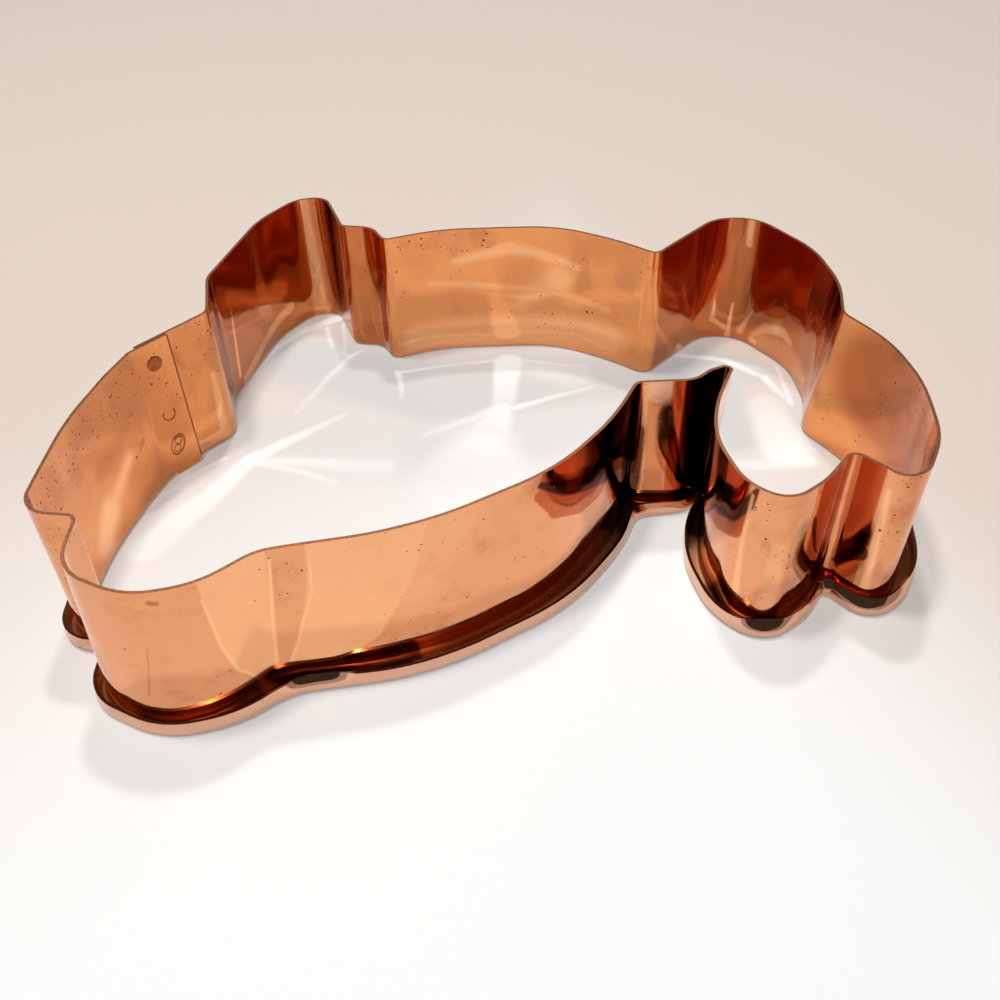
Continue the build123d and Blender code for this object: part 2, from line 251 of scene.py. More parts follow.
INNER_ZONES = {
    # Painted shade: brown where the inner walls' reflections are darker, in the pockets and by the lap
    "brown_tint_and_shade": [
        (44, -2, 24.4, 44, 30, 24.4, 0.8, 0.72), (71.2, 2, 2.6, 70.2, 28, 3, 0.8, 0.8),
        (80, -2, 7, 80, 30, 7, 1.5, 0.8), (94.5, -2, 7.5, 94.5, 31, 7.5, 1, 0.72),
        (184, -2, 17, 184, 31, 17, 1.5, 0.55), (194, -2, 3.6, 193.5, 24, 4.6, 1.5, 0.92),
        (219, -2, 19, 219, 31, 19, 1.5, 0.58), (252, 10, 12, 268, 11, 11, 8, 0.9),
        (250, 10, 5, 262, 14, 6, 9, 1), (550, 8, 10, 552, 22, 10, 10, 0.4),
        (528, 6, 12, 548, 8, 12, 8, 0.3), (535, 14, 3, 545, 13, 3, 6, 0.55),
        (8, 8, 9, 8, 26, 9, 8, 0.25), (8, 6, 1.4, 9, 9, 0.8, 1.6, 0.5),
        (549, 18, 1, 547, 19.5, 0.5, 1, 0.8), (530, 9, 0.8, 530, 15, 1.2, 3, 0.4),
        (522, 7, 1, 524, 9, 0.6, 2, 0.5), (264, 8, 1.5, 265, 13, 1, 3, 0.6),
    ],
    # Painted reflection: deep red in the pockets, where the inner walls mirror each other
    "painted_red_reflection": [
        (98.4, -2, 3.9, 99.3, 8, 2.8, 101, 17, 0.7, 0.8, 0.9),
        (178, -2, 11, 179, 9, 11.5, 1, 0.92), (181, 13, 8.7, 183, 17, 6.5, 1, 0.92),
        (203, -2, 6.6, 204, 14.5, 7, 0.8, 0.95), (212, 0, 8, 212, 10, 8.5, 0.8, 0.95),
        (222, 0, 9, 222, 6, 9, 0.8, 0.95), (231, -2, 6, 231, 6, 6.5, 1.5, 0.95),
    ],
    # Painted reflection: the lip's outside made pale, as it mirrors the white table in front
    "painted_pale_sheen": [
        (-5, 38.6, 5.2, 570, 38.6, 5.2, 1, 0.85),
    ],
    "dull": [
        (264, 8, 1.5, 265, 13, 1, 3, 0.6), (535, 14, 3, 545, 13, 3, 6, 0.3),
    ],
    # Painted shade: darker over the deep red painted reflections, and a thin dark line under the lip's rim
    "painted_dark_reflection": [
        (178, -2, 11, 179, 9, 11.5, 3, 0.35), (203, -2, 6.6, 204, 12, 7, 3, 0.3),
        (212, 0, 8, 222, 2, 8, 4, 0.3), (-5, 37.5, 0.08, 570, 37.5, 0.08, 0.2, 0.3),
    ],
    # Painted highlight: bright glows and lines on the inner walls, where they mirror the light thrown on the
    # table
    "painted_highlight": [
        (118, 8, 0.8, 131, 5, 1.6, 147, 9, 0.8, 2, 0.6),
        (133, 20, 2, 143, 12, 3, 4, 0.5), (112, 13, 0.6, 155, 18, 0.9, 1.2, 0.4),
        (108, 28, 4, 156, 26, 4, 5, 0.65), (36, 8.5, 1.6, 58, 19.5, 2.8, 2.5, 0.95),
        (36.2, 10.5, 0.4, 33, 28, 0.6, 0.8, 0.8), (61, 25.5, 1.2, 35, 30.5, 1.2, 1.4, 0.6),
        (69.8, 0, 1.2, 70.5, 31, 2, 1.5, 0.4), (195, 0, 0.8, 195.3, 6, 0.7, 0.8, 0.5),
        (189.1, 21.5, 0.2, 189, 26.5, 0.6, 0.6, 0.7), (189, 26.5, 0.6, 193, 29, 0.6, 0.8, 0.7),
        (193.7, 22, 0.2, 193.5, 31, 0.7, 0.7, 0.8), (199, 22.5, 0.2, 196.5, 29, 0.8, 0.7, 0.7),
        (177.5, 30, 0.9, 178.5, 31, 0.9, 1.2, 1), (200, 30, 0.8, 201.5, 30, 0.8, 1.2, 1),
        (200.5, 28.5, 0.8, 204, 25, 1.3, 209.5, 23.3, 1.3, 212.5, 24.5, 1, 1.5, 0.7),
        (203, 29, 2, 212, 28, 3, 3, 0.5), (212, 28, 3, 222, 28.5, 2.5, 4, 0.5),
        (528.5, 27, 3, 533, 23.5, 3.2, 4, 0.9), (533, 23.5, 1.8, 544, 18.5, 1.2, 3, 0.6),
        (8, 29.5, 1.3, 15.4, 29.5, 1.3, 0.6, 0.6), (15.5, 14, 0.5, 15.5, 30, 0.8, 0.8, 0.6),
    ],
    "specks": [
        (13, 0, 2.4, 17, 11, 1.8, 3, 1), (17, 8, 1.4, 17.5, 20, 0.8, 2, 0.8),
        (6, 0, 5, 10, 12, 3, 5, 0.5), (534, 6, 3.5, 551, 6, 5, 6, 0.8),
        (516, 4, 6, 530, 8, 4, 6, 0.6), (501, 1, 1.5, 498, 9, 2, 2, 0.9),
        (108, 1, 3, 126, 3, 2, 3, 0.9), (105, 13, 1.6, 106, 15, 1.6, 2, 0.9),
        (143, 9, 2, 148, 5, 2, 2.5, 0.9), (264, 6, 3, 273, 8, 2, 4, 0.8),
        (254, 11, 3, 258, 9, 2, 3, 0.6), (273, 4, 3, 280, 12, 4, 4, 1.1),
        (560, 14, 2, 556, 4, 2, 3, 0.7),
    ],
}


def length_setting(name, description, millimetres):
    """Setting that holds a length."""
    return FloatProperty(name=name, description=description, default=millimetres * MM, unit="LENGTH")


def plain_setting(name, description, number):
    """Setting that holds a plain number."""
    return FloatProperty(name=name, description=description, default=number)


def angle_setting(name, description, degrees):
    """Setting that holds an angle."""
    return FloatProperty(name=name, description=description, default=radians(degrees), unit="ROTATION")


def power_setting(name, description, watts):
    """Setting that holds the power of a lamp."""
    return FloatProperty(name=name, description=description, default=watts, unit="POWER")


def colour_setting(name, description, colour):
    """Setting that holds a colour."""
    return FloatVectorProperty(name=name, description=description, default=colour, subtype="COLOR")


class CutterStripSettings(PropertyGroup):
    """Sizes of the bent strip."""

    outline_length: length_setting("Outline length", "Length of the cap to the sheet's middle", 154)
    outline_width: length_setting("Outline width", "Width of the cap to the sheet's middle", 125.5)
    sheet_thickness: length_setting("Sheet thickness", "Thickness of the copper sheet", 0.6)
    gutter_width: length_setting("Gutter width", "Clear width between wall and lip", 3.2)
    lip_height: length_setting("Lip height", "Height of the lip's rim over the table", 3.4)
    fold_radius: length_setting("Fold radius", "Outside radius of the folds behind", 1.0)
    front_fold_radius: length_setting("Front fold radius", "Outside radius of the folds in front", 1.5)
    rim_allowance: length_setting("Rim allowance", "Room left over the cut edge", 0.04)
    foot_softening: plain_setting("Foot softening", "How much rounder the bends are at the foot, 0 to 1", 0.3)
    lap_start: length_setting("Lap start", "Outer end, from the corner before the lap", 0.2)
    lap_length: length_setting("Lap length", "How far the two ends overlap", 7.0)
    lap_gap: length_setting("Lap gap", "Gap between the lapped sheets", 0.1)
    lap_foot: length_setting("Lap foot", "Lower edge of the inner end over the table", 0.2)
    lap_corner_radius: length_setting("Lap corner", "Radius of the inner end's lower corner", 1.6)
    notch_length: length_setting("Notch", "Gap between the gutter's two ends", 1.0)
    ripple_depth: length_setting("Ripple", "How far the hand-bent sheet ripples", 0.09)
    station_spacing: length_setting("Spacing", "Distance between the edges across the strip", 1.3)


class SpotWeldSettings(PropertyGroup):
    """Sizes and places of the spot welds."""

    from_edge: length_setting("From the edge", "Distance from the strip's outer end", 2.7)
    upper_height: length_setting("Upper height", "Height of the upper weld", 27.3)
    middle_height: length_setting("Middle height", "Height of the middle weld", 15.0)
    lower_height: length_setting("Lower height", "Height of the lower weld", 7.2)
    lean: plain_setting("Lean", "How the row of welds leans, as a slope", 0.04)
    upper_radius: length_setting("Upper radius", "Radius of the upper weld", 1.75)
    ring_radius: length_setting("Ring radius", "Radius of the ringed welds", 1.6)
    ring_height: length_setting("Ring height", "How far the rings stand out", 0.07)


class FinishSettings(PropertyGroup):
    """Colours and gloss of the copper."""

    copper: colour_setting("Copper", "Colour of the polished sheet", (0.81, 0.35, 0.165))
    warm_copper: colour_setting("Inside copper", "Colour of the sheet's inner side", (0.78, 0.305, 0.11))
    # Pale copper of the painted reflection on the lip and the painted highlight by the brow
    painted_pale_sheen: colour_setting("Pale copper", "Colour of the rubbed lip", (0.77, 0.455, 0.325))
    worn_copper: colour_setting("Worn copper", "Colour where hands have dulled it", (0.66, 0.24, 0.10))
    tarnish: colour_setting("Tarnish", "Colour of the dark specks", (0.13, 0.045, 0.025))
    # Brown of the welds' heat tint, and also of the painted shade zones on the sheet
    brown_tint_and_shade: colour_setting("Brown film", "Colour where the sheet has browned", (0.44, 0.125, 0.04))
    # Deep red of the painted reflection, where copper mirrors copper
    painted_red_reflection: colour_setting("Ember red", "Colour where heat has reddened the sheet", (0.50, 0.075, 0.012))
    # Near-black of the painted shade, where the copper mirrors the dark room
    painted_dark_reflection: colour_setting("Blackened", "Colour where heat has blackened it", (0.075, 0.017, 0.008))
    # Bright copper of the painted highlights and painted reflections
    painted_highlight: colour_setting("Buffed copper", "Colour where the sheet is brightest", (0.97, 0.50, 0.25))
    scorched: colour_setting("Scorched", "Colour of the welds' darkest spots", (0.25, 0.075, 0.032))
    edge: colour_setting("Cut edge", "Colour of the sheared edge", (0.52, 0.23, 0.125))


class StageSettings(PropertyGroup):
    """Camera, lamps and table."""

    camera_height: length_setting("Camera height", "Height of the camera over the table", 142.7)
    camera_distance: length_setting("Camera distance", "Camera in front of the origin", 164.85)
    camera_shift: length_setting("Camera sideways", "Camera right of the origin", 0.14)
    camera_pitch: angle_setting("Camera pitch", "How far the camera looks down", 42.6)
    camera_roll: angle_setting("Camera roll", "How far the camera leans", -1.07)
    focal_length: plain_setting("Focal length", "Focal length on a 36 mm sensor, in millimetres", 36.8)
    back_power: power_setting("Back lamp", "Power of the lamp behind the cutter", 3.4)
    left_power: power_setting("Left lamp", "Power of the lamp on the left", 4.0)
    front_power: power_setting("Front lamp", "Power of the lamp in front", 4.2)
    table: colour_setting("Table", "Colour of the table near the camera", (0.95, 0.945, 0.94))
    far_table: colour_setting("Far table", "Colour of the table behind", (0.775, 0.66, 0.585))
    # Painted shade of the table inside the cutter
    inner_table_shade: colour_setting("Inner table", "Colour inside the cutter", (0.70, 0.69, 0.68))
    glow: colour_setting("Glow", "Colour where the copper throws light", (1.0, 1.0, 0.98))
    lift: colour_setting("Lift", "Tint of the table's white that no shadow dims", (0.23, 0.255, 0.27))
    lit_share: plain_setting("Lit share", "Share of the table's white that comes from the lamps", 0.8)


# Waves of the hand-bent sheet: reach along the strip, reach down it, and slice of the pattern
SLOW_RIPPLE = (17 * MM, 26 * MM, 3.1)
QUICK_RIPPLE = (6 * MM, 14 * MM, 8.7)
QUICK_RIPPLE_SHARE = 0.35
# The ripple starts after the outer end, and fades in there and out before the lap
RIPPLE_START = 8 * MM
RIPPLE_FADE_IN = 10 * MM
RIPPLE_FADE_OUT = 6 * MM
# Sway of the lip's rim: its reach along the strip, its slice of the pattern, its steady and its swaying part
SWAY_REACH = 9 * MM
SWAY_SLICE = (5.5, 1.2)
STEADY_LEAN = 0.10
SWAYING_LEAN = 0.12
# A pinched rim keeps this clear of the wall, and its lean grows by this power of the way up
PINCH_CLEARANCE = 0.15 * MM
PINCH_POWER = 1.5
PINCH_EASE = 1.6
# Share of the gutter that one fold may take up
FOLD_ROOM_SHARE = 0.48
# Bend and foot of the strip's inner end
INNER_END_BEND = 0.12
INNER_END_FOOT = (0.003, -0.003)
# Bend of the lip at a corner that it runs past, and where that corner lies between its neighbours
PASSED_BEND = 0.1
PASSED_PLACE = 0.3
# A bend this tight, as a radius in millimetres, counts as a full crease
CREASE_RADIUS = 3
# Steps of the lines along the strip and of the spun welds
WALL_STEPS = 18
FOLD_STEPS = 4
FLOOR_STEPS = 3
LEAST_BEND_STEPS = 4
FINEST_TURN = radians(5)
SLIGHT_TURN = radians(0.5)
WELD_STEPS = 40
# Sections that are spun: the ring, as radius and height shares, the disc, and the table's edge in metres
RING_SECTION = [(0.70, -0.6), (0.75, 0.30), (0.81, 0.95), (0.87, 1.0), (0.94, 0.45), (1.0, -0.6)]
DISC_SECTION = [(0.0, 0.35), (0.35, 0.45), (0.62, 0.75), (0.82, 0.8), (0.94, 0.35), (1.0, -0.6), (0.0, -0.6)]
TABLE_PROFILE = [(0.0, 0.0), (1.3, 0.0), (1.42, 0.02), (1.50, 0.08), (1.54, 0.18), (1.55, 0.50)]
TABLE_STEPS = 96
# Faint light of the room, the camera's sensor in millimetres and the nearest thing it sees in metres
ROOM_COLOUR = (0.05, 0.042, 0.036)
SENSOR_WIDTH = 36
NEAREST_SEEN = 0.01


def perpendicular(direction):
    """A level direction turned a quarter to the left, which is outwards on the clockwise outline."""
    return Vector((-direction.y, direction.x, 0))


def row_places(rows):
    """Tops of the corners, with the outline centred on the origin."""
    sizes = bpy.context.scene.cutter_strip
    return [
        Vector((sizes.outline_length * (row[0] - 0.5), sizes.outline_width * (row[1] - 0.5), 0))
        for row in rows
    ]


def pushed_out(before, corner, after, reach):
    """Place of a corner when both sides beside it move outwards by the reach."""
    incoming = (corner - before).normalized()
    outgoing = (after - corner).normalized()
    return corner + perpendicular(incoming + outgoing) * (reach / (1 + incoming.dot(outgoing)))


def lap_axes():
    """Corner before the lap, direction along the lap and direction outwards, both level."""
    before, corner, after = row_places([TRIM_FOOT_SHARES[-1], LAP_CORNER_SHARES[0], LAP_CORNER_SHARES[1]])
    run = (after - corner).normalized()
    return before, corner, run, perpendicular(run)


def wall_corners():
    """Corners of the strip's middle at the top, from its outer end to its inner end."""
    sizes = bpy.context.scene.cutter_strip
    before, corner, run, outwards = lap_axes()
    lap_step = sizes.sheet_thickness + sizes.lap_gap
    approach = (corner - before).normalized()
    start = corner + run * sizes.lap_start
    inner_corner = corner - approach * (lap_step / sin(approach.angle(run)))
    end = corner + run * (sizes.lap_start + sizes.lap_length) - outwards * lap_step
    return [start, *row_places(STRIP_ROWS), inner_corner, end]


def foot_corners(tops):
    """The same corners at the foot, where the wall leans."""
    sizes = bpy.context.scene.cutter_strip
    shifts = [(row[6], row[7]) for row in STRIP_ROWS]
    shifts = [(0, 0), *shifts, shifts[-1], INNER_END_FOOT]
    return [
        top + Vector((sizes.outline_length * along, sizes.outline_width * across, 0))
        for top, (along, across) in zip(tops, shifts)
    ]


def lip_corners(tops):
    """Corners of the lip's middle, where one that the lip runs past lies between its neighbours."""
    sizes = bpy.context.scene.cutter_strip
    gutter_shares = [1.0, *(row[3] for row in STRIP_ROWS), 1.0, 1.0]
    kept = [index for index, share in enumerate(gutter_shares) if share > 0]
    lip = {}
    for place, index in enumerate(kept):
        reach = sizes.sheet_thickness + sizes.gutter_width * gutter_shares[index]
        here = tops[index]
        if place == 0:
            lip[index] = here + perpendicular((tops[kept[1]] - here).normalized()) * reach
        elif place == len(kept) - 1:
            lip[index] = here + perpendicular((here - tops[kept[-2]]).normalized()) * reach
        else:
            lip[index] = pushed_out(tops[kept[place - 1]], here, tops[kept[place + 1]], reach)
    for index, share in enumerate(gutter_shares):
        if share == 0:
            lip[index] = lip[index - 1].lerp(lip[index + 1], PASSED_PLACE)
    return [lip[index] for index in range(len(tops))]


def extrude_run(mesh, line, run, steps):
    """Carry a line on along a straight run by extruding its last vertex."""
    for _ in range(steps):
        grown = bmesh.ops.extrude_vert_indiv(mesh, verts=[line[-1]])["verts"][0]
        grown.co = line[-1].co + run / steps
        line.append(grown)


def spin_bend(mesh, line, centre, turn, steps):
    """Carry a line on round a bend by spinning its last vertex."""
    bmesh.ops.spin(mesh, geom=[line[-1]], cent=centre, axis=UP, angle=turn, steps=steps)
    for _ in range(steps):
        ahead = [edge.other_vert(line[-1]) for edge in line[-1].link_edges]
        line.append([vert for vert in ahead if vert not in line[-2:]][0])


def signed_turn(incoming, outgoing):
    """Angle from one level direction to the next, positive to the left."""
    return copysign(incoming.angle(outgoing), incoming.cross(outgoing).z)


def line_steps(corners, bend_shares):
    """Number of steps in every straight run and in every bend of a row of corners."""
    spacing = bpy.context.scene.cutter_strip.station_spacing
    runs = []
    bends = []
    taken = 0
    for before, corner, after, share in zip(corners, corners[1:], corners[2:], bend_shares):
        incoming = corner - before
        outgoing = after - corner
        tangent = share * min(incoming.length, outgoing.length)
        turn = abs(signed_turn(incoming, outgoing))
        arc = tangent / tan(turn / 2) * turn
        runs.append(max(1, ceil((incoming.length - taken - tangent) / spacing)))
        bends.append(max(LEAST_BEND_STEPS, ceil(turn / FINEST_TURN), ceil(arc / spacing)))
        taken = tangent
    runs.append(max(1, ceil(((corners[-1] - corners[-2]).length - taken) / spacing)))
    return runs, bends


def draw_line(mesh, corners, bend_shares, runs, bends):
    """Draw a row of corners as one line of vertices, its straight runs extruded and its bends spun."""
    line = [mesh.verts.new(corners[0])]
    for index, share in enumerate(bend_shares):
        before, corner, after = corners[index : index + 3]
        incoming = corner - before
        outgoing = after - corner
        tangent = share * min(incoming.length, outgoing.length)
        turn = signed_turn(incoming, outgoing)
        direction = incoming.normalized()
        extrude_run(mesh, line, corner - direction * tangent - line[-1].co, runs[index])
        if abs(turn) < SLIGHT_TURN:
            extrude_run(mesh, line, direction * tangent * 2, bends[index])
        else:
            radius = tangent / tan(turn / 2)
            spin_bend(mesh, line, line[-1].co + perpendicular(direction) * radius, turn, bends[index])
    extrude_run(mesh, line, corners[-1] - line[-1].co, runs[-1])
    return line


def drawn_points(corners, bend_shares, runs, bends):
    """Places along a row of corners, read from a line that is drawn and thrown away."""
    mesh = bmesh.new()
    points = [vert.co.copy() for vert in draw_line(mesh, corners, bend_shares, runs, bends)]
    mesh.free()
    return points


def smooth_step(share):
    """Share eased at both ends."""
    share = max(0.0, min(1.0, share))
    return share * share * (3 - 2 * share)


def strip_stations():
    """Every place across the strip: top, foot and lip of the sheet's middle, and what varies along it."""
    sizes = bpy.context.scene.cutter_strip
    tops = wall_corners()
    feet = foot_corners(tops)
    lips = lip_corners(tops)
    wall_shares = [*(row[2] for row in STRIP_ROWS), INNER_END_BEND]
    lip_shares = [*(row[4] if row[4] > 0 else PASSED_BEND for row in STRIP_ROWS), INNER_END_BEND]
    runs, bends = line_steps(tops, wall_shares)
    foot_shares = [share + (0.5 - share) * sizes.foot_softening for share in wall_shares]
    top_line = drawn_points(tops, wall_shares, runs, bends)
    foot_line = drawn_points(feet, foot_shares, runs, bends)
    lip_line = drawn_points(lips, lip_shares, runs, bends)
    # Place of each corner along the line, for what is eased from corner to corner
    corner_marks = [0]
    count = 0
    for run, bend in zip(runs, bends):
        corner_marks.append(count + run + bend / 2)
        count += run + bend
    corner_marks.append(count + runs[-1])
    pinches = [0.0, *(row[5] for row in STRIP_ROWS), 0.0, 0.0]
    stations = []
    distance = 0.0
    corner = 0
    for index, top in enumerate(top_line):
        if index:
            distance += (top - top_line[index - 1]).length
        while corner + 1 < len(corner_marks) - 1 and index >= corner_marks[corner + 1]:
            corner += 1
        share = (index - corner_marks[corner]) / (corner_marks[corner + 1] - corner_marks[corner])
        eased = smooth_step(share)
        ahead = top_line[min(index + 1, len(top_line) - 1)]
        behind = top_line[max(index - 1, 0)]
        stations.append(
            {
                "top": top,
                "foot": foot_line[index],
                "lip": lip_line[index],
                "outwards": perpendicular((ahead - behind).normalized()),
                "distance": distance,
                "pinch": pinches[corner] * (1 - eased) + pinches[corner + 1] * eased,
                "crease": 0.0,
            }
        )
    for station in stations:
        station["room"] = (station["lip"] - station["foot"]).length
        for along, across, reach, depth in PINCH_SPOT_SHARES:
            spot = Vector((sizes.outline_length * (along - 0.5), sizes.outline_width * (across - 0.5), 0))
            near = 1 - (station["lip"] - spot).length / (reach * sizes.outline_length)
            station["pinch"] = max(station["pinch"], depth * smooth_step(near * PINCH_EASE))
    for index in range(1, len(stations) - 1):
        turn = stations[index - 1]["outwards"].angle(stations[index + 1]["outwards"])
        length = stations[index + 1]["distance"] - stations[index - 1]["distance"]
        stations[index]["crease"] = min(1.0, turn / length * CREASE_RADIUS * MM)
    # The lip lies where the CAD model's lip is: it touches the box at the right, in front and behind
    high_x = max(point.x for point in lip_line) + sizes.sheet_thickness / 2 + sizes.rim_allowance / 8
    low_y = min(point.y for point in lip_line)
    high_y = max(point.y for point in lip_line)
    shift = Vector((CAD_HIGH.x - high_x, (CAD_LOW.y + CAD_HIGH.y - low_y - high_y) / 2, 0))
    for station in stations:
        for name in ("top", "foot", "lip"):
            station[name] = station[name] + shift
    lap_from = stations[-1]["distance"] - sizes.lap_length - sizes.notch_length
    return stations, shift, lap_from


def lap_foot_height(station, strip_end):
    """Height of the inner end's lower edge, with its rounded corner."""
    sizes = bpy.context.scene.cutter_strip
    radius = sizes.lap_corner_radius
    into_corner = max(0.0, radius - (strip_end - station["distance"]))
    return sizes.lap_foot + radius - sqrt(max(0.0, radius * radius - into_corner * into_corner))


def ripple(station, height, lap_from):
    """How far the sheet stands out from its true surface, with none at the two lapped ends."""
    along = station["distance"]
    fade = smooth_step((along - RIPPLE_START) / RIPPLE_FADE_IN)
    fade *= smooth_step((lap_from - along) / RIPPLE_FADE_OUT)
    slow, quick = (
        noise.noise(Vector((along / reach, height / depth, part)))
        for reach, depth, part in (SLOW_RIPPLE, QUICK_RIPPLE)
    )
    return bpy.context.scene.cutter_strip.ripple_depth * fade * (slow + QUICK_RIPPLE_SHARE * quick)


def sheet_place(station, part, share, strip_end, lap_from):
    """Place of the sheet's middle, at a share of the way down the wall, along the floor or up the lip."""
    sizes = bpy.context.scene.cutter_strip
    half = sizes.sheet_thickness / 2
    in_front = smooth_step(0.5 - station["outwards"].y)
    radius = sizes.fold_radius + (sizes.front_fold_radius - sizes.fold_radius) * in_front
    bend = min(radius - half, station["room"] * FOLD_ROOM_SHARE)
    if part == "wall":
        base = half + bend
        if station["distance"] > lap_from:
            base = lap_foot_height(station, strip_end)
        rim = CAD_HIGH.z - sizes.rim_allowance
        height = rim + (base - rim) * share
        level = station["foot"].lerp(station["top"], height / CAD_HIGH.z)
        level = level + station["outwards"] * ripple(station, height, lap_from)
        return Vector((level.x, level.y, height))
    foot = station["foot"].lerp(station["top"], (half + bend) / CAD_HIGH.z)
    foot = foot + station["outwards"] * ripple(station, half + bend, lap_from)
    across = station["lip"] - foot
    across.z = 0
    reach = across.length
    across.normalize()
    angle = share * pi / 2
    if part == "fold":
        out = bend * (1 - cos(angle))
        height = half + bend * (1 - sin(angle))
    elif part == "floor":
        out = bend + (reach - 2 * bend) * share
        height = half
    elif part == "lip fold":
        out = reach - bend + bend * sin(angle)
        height = half + bend * (1 - cos(angle))
    else:
        height = half + bend + (sizes.lip_height - half - bend) * share
        room = max(0.0, reach - 2 * half - PINCH_CLEARANCE)
        wave = noise.noise(Vector((station["distance"] / SWAY_REACH, *SWAY_SLICE)))
        pinched = room * station["pinch"] * share ** PINCH_POWER
        out = reach - pinched - (STEADY_LEAN + SWAYING_LEAN * wave) * MM * share
    level = foot + across * out
    return Vector((level.x, level.y, height))


def sheet_rings():
    """Name and share of every line along the strip, from the cut edge down and round to the lip's rim."""
    parts = (
        ("wall", WALL_STEPS),
        ("fold", FOLD_STEPS),
        ("floor", FLOOR_STEPS),
        ("lip fold", FOLD_STEPS),
        ("lip", FOLD_STEPS),
    )
    return [(part, step / steps) for part, steps in parts for step in range(1, steps + 1)]


def finished_object(name, mesh, body, slot, *nodes):
    """Make an object of a finished mesh and tell the frame what it is."""
    data = bpy.data.meshes.new(name)
    mesh.to_mesh(data)
    mesh.free()
    piece = bpy.data.objects.new(name, data)
    bpy.context.scene.collection.objects.link(piece)
    for polygon in data.polygons:
        polygon.use_smooth = True
    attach(piece, body)
    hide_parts(*nodes)
    return piece


class CUTTER_OT_strip(Operator):
    """Bend the strip: draw its top edge, extrude it down, round the folds and up the lip"""

    bl_idname = "cutter.strip"
    bl_label = "Strip"

    def execute(self, context):
        sizes = context.scene.cutter_strip
        stations, _, lap_from = strip_stations()
        strip_end = stations[-1]["distance"]
        mesh = bmesh.new()
        station_of = mesh.verts.layers.int.new("station")
        crease_of = mesh.verts.layers.float.new("crease")
        # Top edge, one extruded vertex for every station
        line = [mesh.verts.new(stations[0]["top"])]
        for _ in stations[1:]:
            extrude_run(mesh, line, Vector(), 1)
        for index, vert in enumerate(line):
            vert[station_of] = index
            vert[crease_of] = stations[index]["crease"]
            vert.co = sheet_place(stations[index], "wall", 0.0, strip_end, lap_from)
        front = list(mesh.edges)
        depth_of = {vert: 0.0 for vert in line}
        for part, share in sheet_rings():
            if part == "fold":
                front = [
                    edge
                    for edge in front
                    if all(stations[vert[station_of]]["distance"] <= lap_from for vert in edge.verts)
                ]
            made = bmesh.ops.extrude_edge_only(mesh, edges=front)["geom"]
            front = [item for item in made if isinstance(item, bmesh.types.BMEdge)]
            # Keep only the edges along the strip for the next line
            new_verts = {item for item in made if isinstance(item, bmesh.types.BMVert)}
            front = [edge for edge in front if all(vert in new_verts for vert in edge.verts)]
            deeper = {}
            for vert in new_verts:
                beside = (edge.other_vert(vert) for edge in vert.link_edges)
                above = next(other for other in beside if other in depth_of)
                vert.co = sheet_place(stations[vert[station_of]], part, share, strip_end, lap_from)
                deeper[vert] = depth_of[above] + (vert.co - above.co).length
            depth_of.update(deeper)
        bmesh.ops.recalc_face_normals(mesh, faces=mesh.faces)
        mesh.normal_update()
        if line[0].link_faces[0].normal.dot(stations[0]["outwards"]) < 0:
            bmesh.ops.reverse_faces(mesh, faces=mesh.faces)
        along_sheet = mesh.loops.layers.uv.new("UVMap")
        for face in mesh.faces:
            for loop in face.loops:
                loop[along_sheet].uv = (stations[loop.vert[station_of]]["distance"], depth_of[loop.vert])
        strip = finished_object("cutter_strip_sheet", mesh, "root", "sheet_copper", "cutter_strip")
        finish = context.scene.copper_finish
        for material in (
            copper_material("sheet_copper_outer", finish.copper, OUTER_ZONES, strip_end),
            edge_material(),
            copper_material("sheet_copper_inner", finish.warm_copper, INNER_ZONES, strip_end),
        ):
            strip.data.materials.append(material)
        thicken = strip.modifiers.new("Sheet thickness", "SOLIDIFY")
        thicken.thickness = sizes.sheet_thickness
        thicken.offset = 0
        thicken.use_even_offset = True
        thicken.use_quality_normals = True
        thicken.material_offset = 2
        thicken.material_offset_rim = 1
        round_edges = strip.modifiers.new("Rounded edges", "BEVEL")
        round_edges.width = 0.07 * MM
        round_edges.segments = 2
        round_edges.limit_method = "ANGLE"
        round_edges.angle_limit = radians(60)
        round_edges.harden_normals = True
        return {"FINISHED"}


def weld_frame(height):
    """Matrix of a weld: X along the strip, Y up the sheet, Z out of the inner face, at the inner face."""
    sizes = bpy.context.scene.cutter_strip
    welds = bpy.context.scene.spot_welds
    stations, shift, _ = strip_stations()
    _, corner, run, outwards = lap_axes()
    inset = sizes.sheet_thickness * 1.5 + sizes.lap_gap
    along = sizes.lap_start + welds.from_edge - welds.lean * (CAD_HIGH.z - height)
    # The inner end leans inwards towards its foot
    strip_end = stations[-1]["distance"]
    from_end = sizes.lap_length - welds.from_edge
    here = min(stations, key=lambda item: abs(strip_end - item["distance"] - from_end))
    lean = (here["top"] - here["foot"]) / CAD_HIGH.z
    level = corner + shift + run * along - outwards * inset - lean * (CAD_HIGH.z - height)
    up = (UP + lean).normalized()
    inwards = run.cross(up).normalized() * -1
    if inwards.dot(outwards) > 0:
        inwards = -inwards
    turn = Matrix((run, up, inwards)).transposed().to_4x4()
    return Matrix.Translation(Vector((level.x, level.y, height))) @ turn


